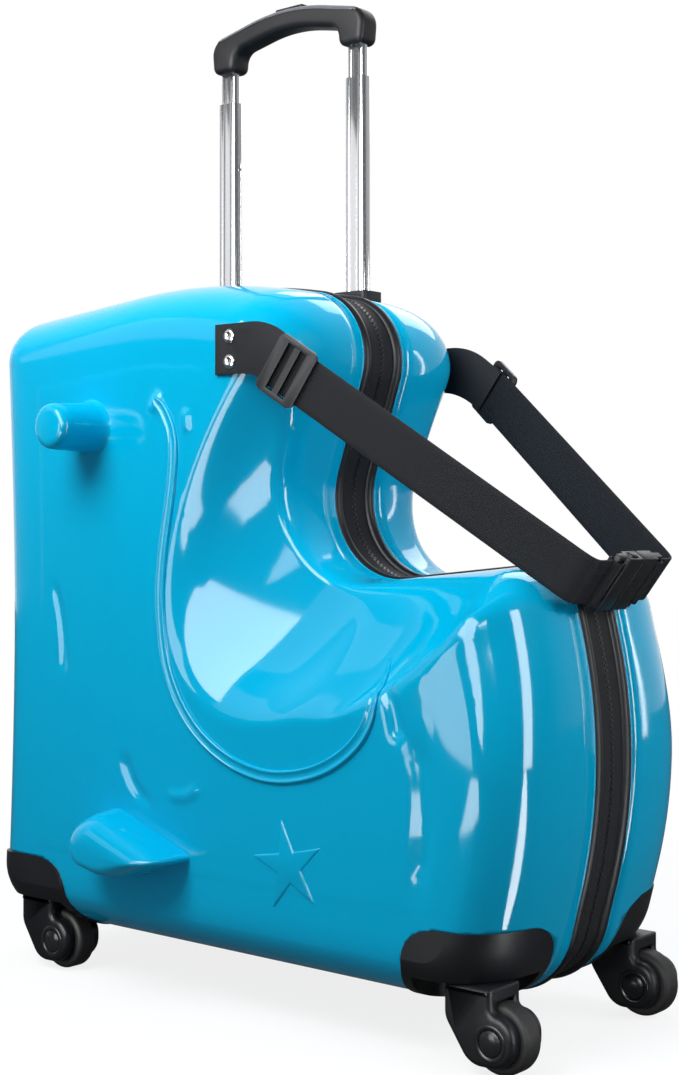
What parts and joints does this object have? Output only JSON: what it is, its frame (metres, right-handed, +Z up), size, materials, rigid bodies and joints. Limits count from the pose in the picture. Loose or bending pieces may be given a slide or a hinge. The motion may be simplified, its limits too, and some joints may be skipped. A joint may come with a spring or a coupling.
{
  "type": "ride-on suitcase",
  "caption": "Hard-shell children's suitcase with a saddle-shaped seat to ride on, waist strap, hand pegs, foot rests, swivel casters and a telescopic trolley handle.",
  "frame": {"origin": "on the floor under the middle of the whole suitcase's box", "axes": "+Z up, +X from the tall end towards the low nose, the two half shells part at Y = 0"},
  "size_m": [0.5783, 0.342, 0.8213],
  "materials": {
    "shell": "clear glossy moulded shell, cyan",
    "band": "satin black extruded rim trim",
    "tape": "woven black tape",
    "zip": "black coil zip",
    "zip_metal": "black painted die casting",
    "housing": "satin black moulding",
    "caster": "satin black moulding",
    "hub": "black moulding",
    "tyre": "dull black tread",
    "steel": "zinc-plated steel",
    "webbing": "ribbed black webbing",
    "buckle": "satin black moulding",
    "rivet": "bright plated",
    "sleeve": "satin black moulding",
    "tube": "bright drawn tube",
    "grip": "soft black moulding"
  },
  "bodies": {
    "near_half": {"near_shell": "shell", "near_trim": "band", "near_zip_tape": "tape", "near_zip_teeth": "zip", "near_column_housing": "housing", "near_nose_housing": "housing", "near_swivel_pins": "steel", "near_strap_tab": "webbing", "near_strap": "webbing", "near_glide": "buckle", "near_rivets": "rivet", "hinge_tape": "tape", "buckle_socket": "buckle"},
    "far_half": {"far_shell": "shell", "far_trim": "band", "far_zip_tape": "tape", "far_zip_teeth": "zip", "far_column_housing": "housing", "far_nose_housing": "housing", "far_swivel_pins": "steel", "far_strap_tab": "webbing", "far_strap": "webbing", "far_glide": "buckle", "far_rivets": "rivet", "buckle_plug": "buckle", "trolley_sleeves": "sleeve", "trolley_collars": "sleeve", "trolley_bracket": "sleeve"},
    "trolley_first": {"trolley_outer": "tube"},
    "trolley_second": {"trolley_inner": "tube", "trolley_grip": "grip"},
    "release_button": {"trolley_button": "grip"},
    "zip_runner": {"zip_slider": "zip_metal"},
    "zip_tongue": {"zip_pull": "zip_metal"},
    "catch_upper": {"buckle_tab_upper": "buckle"},
    "catch_lower": {"buckle_tab_lower": "buckle"},
    "near_column_caster": {"near_column_fork": "caster", "near_column_axle": "steel"},
    "near_column_wheel": {"near_column_hub": "hub", "near_column_tyre": "tyre"},
    "near_nose_caster": {"near_nose_fork": "caster", "near_nose_axle": "steel"},
    "near_nose_wheel": {"near_nose_hub": "hub", "near_nose_tyre": "tyre"},
    "far_column_caster": {"far_column_fork": "caster", "far_column_axle": "steel"},
    "far_column_wheel": {"far_column_hub": "hub", "far_column_tyre": "tyre"},
    "far_nose_caster": {"far_nose_fork": "caster", "far_nose_axle": "steel"},
    "far_nose_wheel": {"far_nose_hub": "hub", "far_nose_tyre": "tyre"}
  },
  "joints": [
    {"name": "case_open", "type": "hinge", "parent": "near_half", "child": "far_half", "pos_m": [-0.2906, 0, 0.3], "axis": [0, 0, 1], "range_deg": [0, 180]},
    {"name": "first_stage", "type": "slide", "parent": "far_half", "child": "trolley_first", "axis": [0, 0, 1], "range_m": [-0.172, 0.1]},
    {"name": "second_stage", "type": "slide", "parent": "trolley_first", "child": "trolley_second", "axis": [0, 0, 1], "range_m": [-0.025, 0.2]},
    {"name": "release_press", "type": "slide", "parent": "trolley_second", "child": "release_button", "axis": [0, 0, -1], "range_m": [0, 0.003], "stiffness_N_per_m": 300},
    {"name": "zip_run", "type": "slide", "parent": "near_half", "child": "zip_runner", "axis": [1, 0, 0], "range_m": [0, 0.3]},
    {"name": "pull_swing", "type": "hinge", "parent": "zip_runner", "child": "zip_tongue", "pos_m": [-0.1666, 0, 0.02885], "axis": [0, 1, 0], "range_deg": [-65, 65]},
    {"name": "upper_squeeze", "type": "slide", "parent": "far_half", "child": "catch_upper", "axis": [-0.5987, 0, -0.8009], "range_m": [0, 0.0025], "stiffness_N_per_m": 400},
    {"name": "lower_squeeze", "type": "slide", "parent": "far_half", "child": "catch_lower", "axis": [0.5987, 0, 0.8009], "range_m": [0, 0.0025], "stiffness_N_per_m": 400},
    {"name": "near_column_swivel", "type": "hinge", "parent": "near_half", "child": "near_column_caster", "pos_m": [-0.2316, -0.094, 0.06], "axis": [0, 0, 1], "continuous": true},
    {"name": "near_column_roll", "type": "hinge", "parent": "near_column_caster", "child": "near_column_wheel", "pos_m": [-0.2116, -0.094, 0.0245], "axis": [0, 1, 0], "continuous": true},
    {"name": "near_nose_swivel", "type": "hinge", "parent": "near_half", "child": "near_nose_caster", "pos_m": [0.2154, -0.094, 0.06], "axis": [0, 0, 1], "continuous": true},
    {"name": "near_nose_roll", "type": "hinge", "parent": "near_nose_caster", "child": "near_nose_wheel", "pos_m": [0.2354, -0.094, 0.0245], "axis": [0, 1, 0], "continuous": true},
    {"name": "far_column_swivel", "type": "hinge", "parent": "far_half", "child": "far_column_caster", "pos_m": [-0.2316, 0.094, 0.06], "axis": [0, 0, 1], "continuous": true},
    {"name": "far_column_roll", "type": "hinge", "parent": "far_column_caster", "child": "far_column_wheel", "pos_m": [-0.2116, 0.094, 0.0245], "axis": [0, 1, 0], "continuous": true},
    {"name": "far_nose_swivel", "type": "hinge", "parent": "far_half", "child": "far_nose_caster", "pos_m": [0.2154, 0.094, 0.06], "axis": [0, 0, 1], "continuous": true},
    {"name": "far_nose_roll", "type": "hinge", "parent": "far_nose_caster", "child": "far_nose_wheel", "pos_m": [0.2354, 0.094, 0.0245], "axis": [0, 1, 0], "continuous": true}
  ]
}
